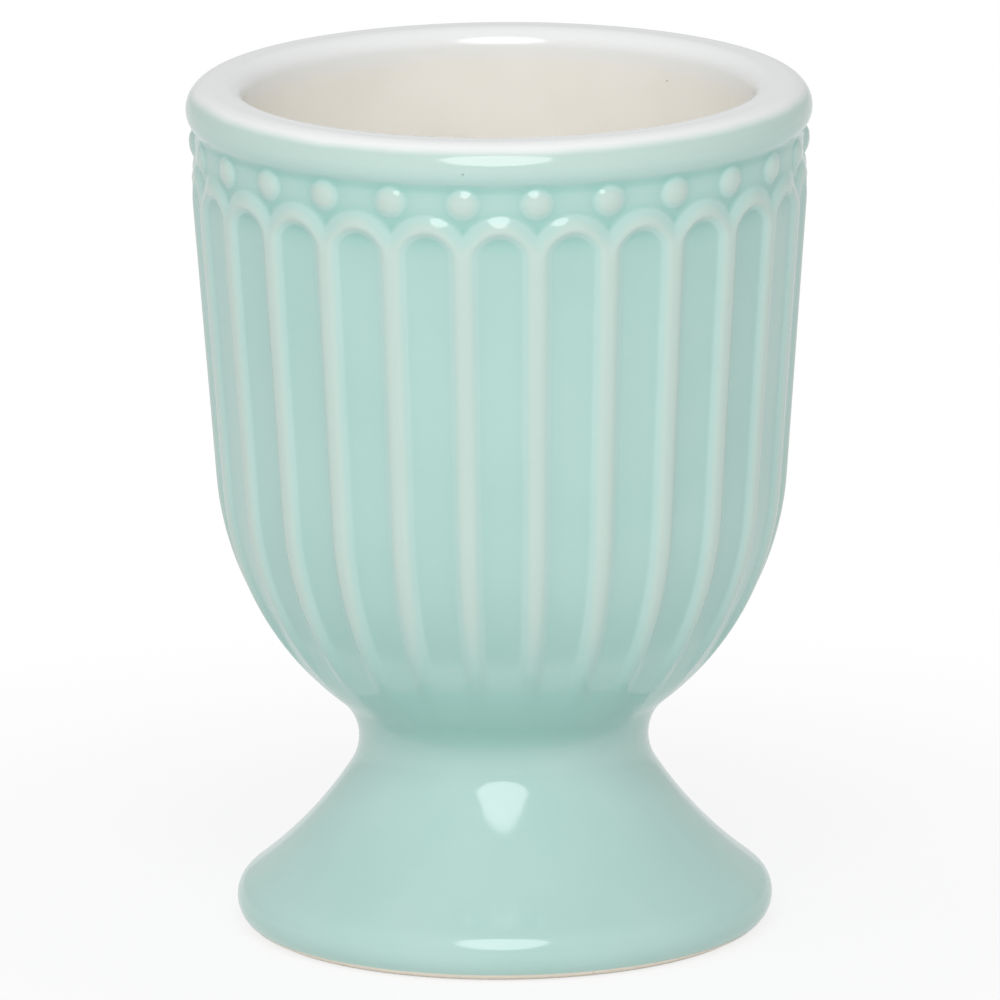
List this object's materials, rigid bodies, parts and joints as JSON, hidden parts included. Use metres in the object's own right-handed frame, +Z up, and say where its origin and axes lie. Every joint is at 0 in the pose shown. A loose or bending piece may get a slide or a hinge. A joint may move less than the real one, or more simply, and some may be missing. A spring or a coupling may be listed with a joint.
{
  "type": "egg cup",
  "caption": "Glazed stoneware egg cup: a fluted bowl with an arcade and a row of beads under a rounded rim, on a hollow flared foot",
  "frame": {"origin": "middle of the ring that the foot stands on, at table height", "axes": "+Z is up along the cup's axis of symmetry; the front in the picture faces -Y, with a flute at the middle"},
  "size_m": [0.0486, 0.0486, 0.067],
  "materials": {
    "clay": "bare fired stoneware, pale and matt",
    "slip": "fired joining slip, matt",
    "mint_glaze": "glossy pale mint glaze, thinner and paler on raised edges",
    "white_glaze": "glossy creamy white glaze"
  },
  "bodies": {
    "root": {"bowl": "clay", "foot": "clay", "luting_slip": "slip", "outer_glaze": "mint_glaze", "liner_glaze": "white_glaze", "foot_well_glaze": "mint_glaze"}
  },
  "joints": []
}
